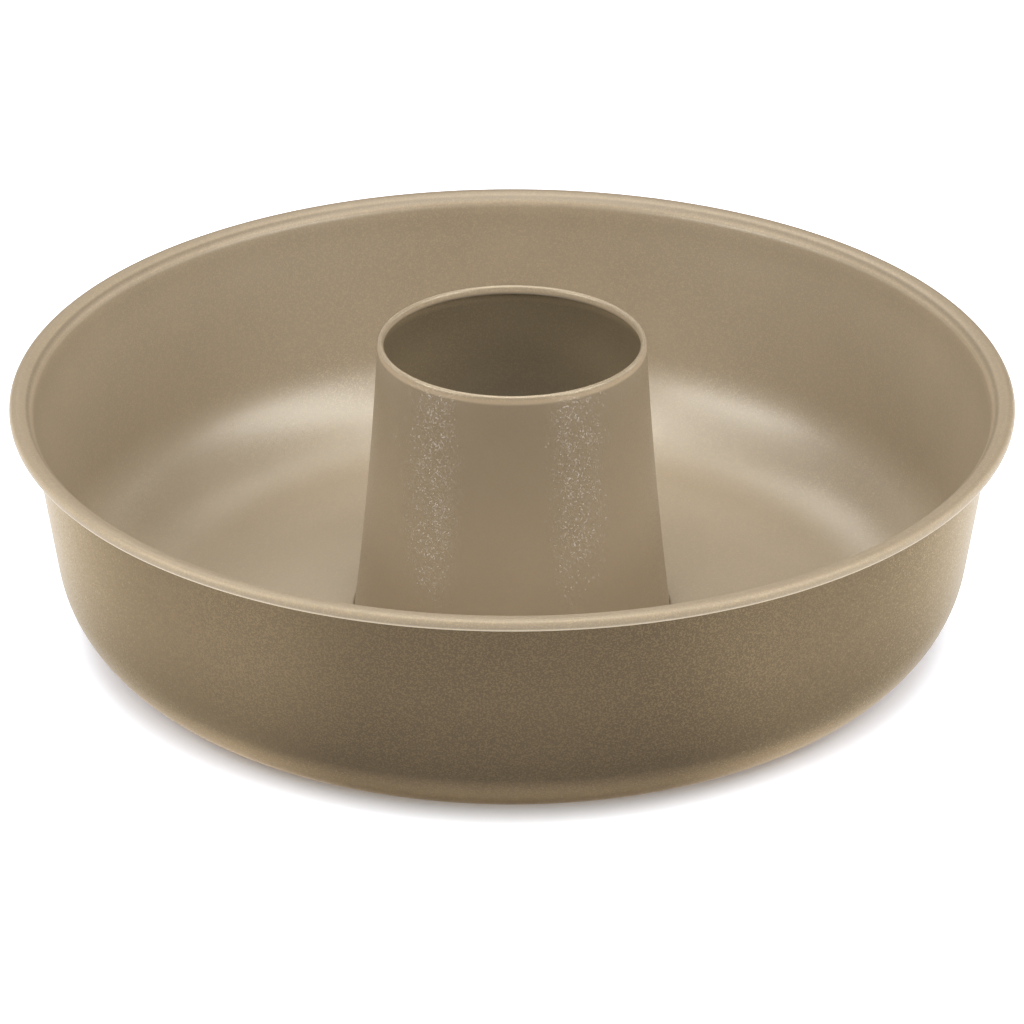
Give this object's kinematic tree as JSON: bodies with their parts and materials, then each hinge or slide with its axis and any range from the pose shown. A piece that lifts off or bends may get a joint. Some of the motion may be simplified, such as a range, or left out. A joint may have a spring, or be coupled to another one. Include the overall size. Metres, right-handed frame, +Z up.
{
  "type": "savarin mould",
  "caption": "Round ring-cake pan with a drafted wall, rolled rim, large floor corner and an open conical centre tube seamed into the floor.",
  "frame": {"origin": "on the axis, at the bottom centre, on the plane that the mould stands on", "axes": "+Z is up along the mould's axis of symmetry; the mould is round, so +X and +Y are free, and -Y faces the picture's camera"},
  "size_m": [0.252, 0.252, 0.0782],
  "materials": {
    "coating": "satin champagne-gold non-stick coating with a fine metallic grain, on both sides of the steel"
  },
  "bodies": {
    "root": {"pan": "coating", "centre_tube": "coating"}
  },
  "joints": []
}
